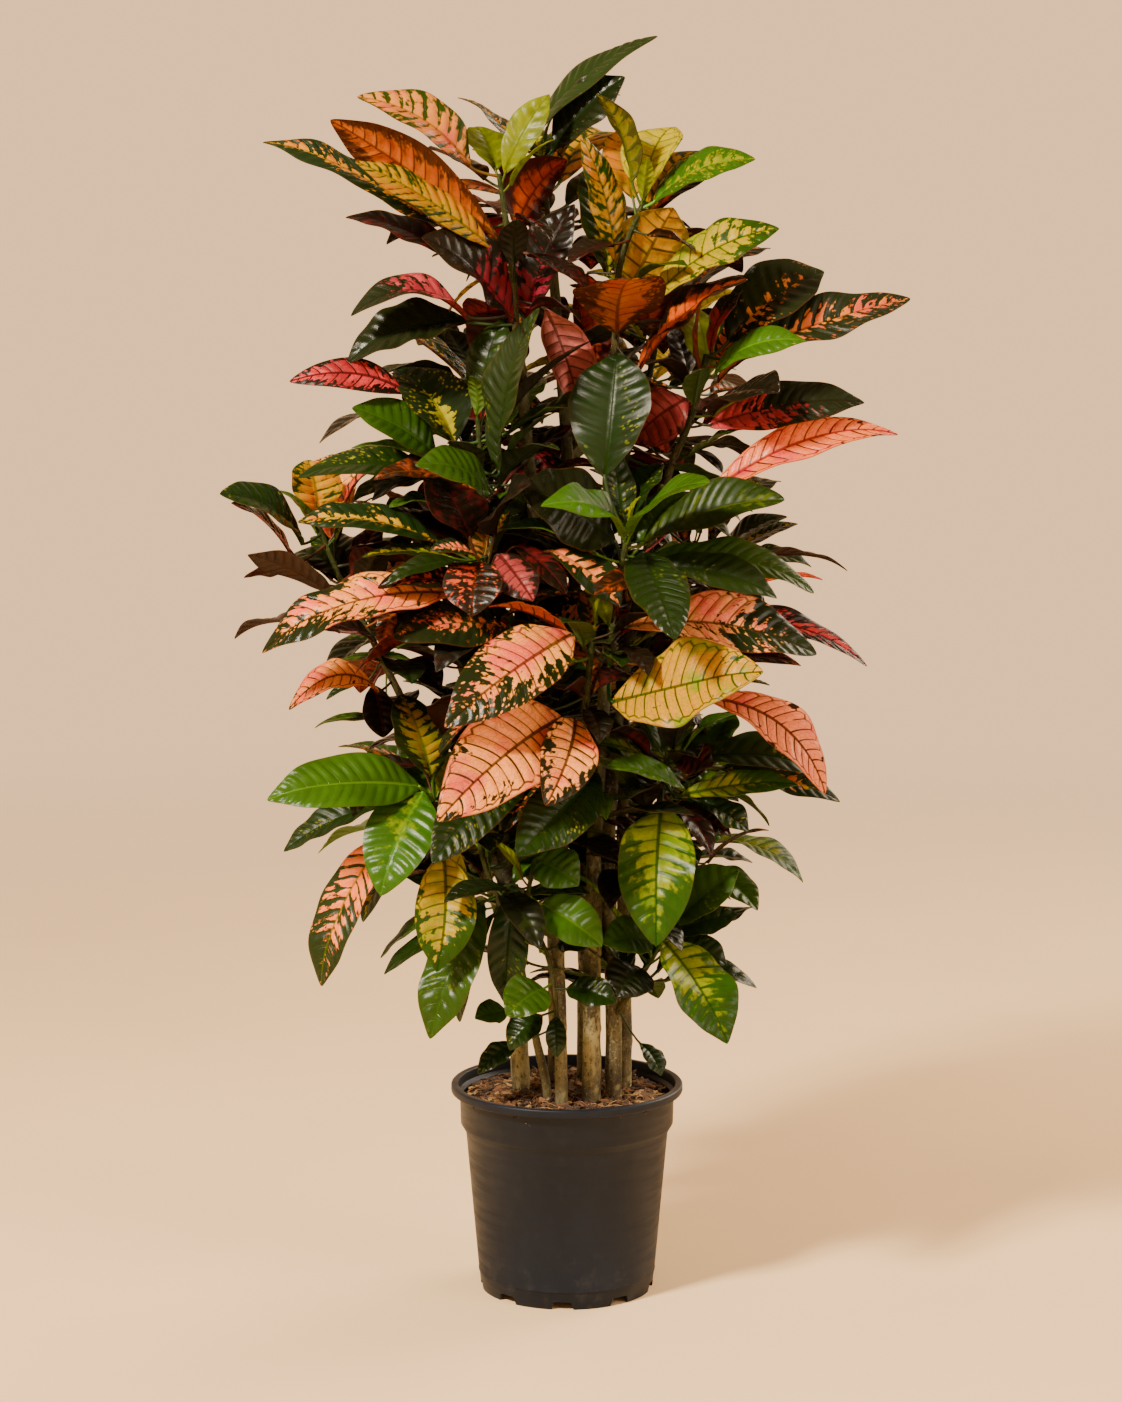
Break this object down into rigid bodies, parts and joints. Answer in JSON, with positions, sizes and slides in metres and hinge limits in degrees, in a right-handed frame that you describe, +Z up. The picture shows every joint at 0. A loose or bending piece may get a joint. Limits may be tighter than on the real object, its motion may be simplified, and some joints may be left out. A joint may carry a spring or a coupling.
{
  "type": "potted croton",
  "caption": "Many-caned croton house plant with broad mottled leaves, standing in a round black nursery pot filled with bark mix.",
  "frame": {"origin": "on the ground under the middle of the plant and its pot", "axes": "+Z up along the canes, -Y towards the front of the plant, +X to the right seen from the front"},
  "size_m": [0.6891, 0.534, 1.2837],
  "materials": {
    "pot_plastic": "satin",
    "potting_mix": "matte",
    "cane_bark": "matte",
    "foliage_dark": "satin",
    "foliage_green": "satin",
    "foliage_gold": "satin",
    "foliage_red": "satin"
  },
  "bodies": {
    "root": {"pot": "pot_plastic", "soil": "potting_mix", "cane_1": "cane_bark", "cane_2": "cane_bark", "cane_3": "cane_bark", "cane_4": "cane_bark", "cane_5": "cane_bark", "cane_6": "cane_bark", "cane_7": "cane_bark", "cane_8": "cane_bark", "cane_9": "cane_bark", "cane_10": "cane_bark", "leafy_stem_top_left": "foliage_red", "leafy_stem_top_back": "foliage_dark", "leafy_stem_top_right": "foliage_gold", "leafy_stem_upper_right": "foliage_dark", "leafy_stem_left_crown": "foliage_dark", "leafy_stem_middle_crown": "foliage_green", "leafy_stem_far_left": "foliage_dark", "leafy_stem_left_middle": "foliage_red", "leafy_stem_middle": "foliage_red", "leafy_stem_right_middle": "foliage_gold", "leafy_stem_lower_right": "foliage_green", "leafy_stem_low_right": "foliage_green", "leafy_stem_lower_left": "foliage_green", "leafy_stem_low_left": "foliage_green", "leafy_stem_base_shoot": "foliage_green", "leafy_stem_inner_left": "foliage_dark", "leafy_stem_inner_right": "foliage_dark", "leafy_stem_back_left_high": "foliage_dark", "leafy_stem_back_right_high": "foliage_gold", "leafy_stem_back_left_middle": "foliage_red", "leafy_stem_back_right_middle": "foliage_dark", "leafy_stem_back_low": "foliage_green", "leafy_stem_back_left_low": "foliage_green", "leafy_stem_back_right_low": "foliage_green"}
  },
  "joints": []
}
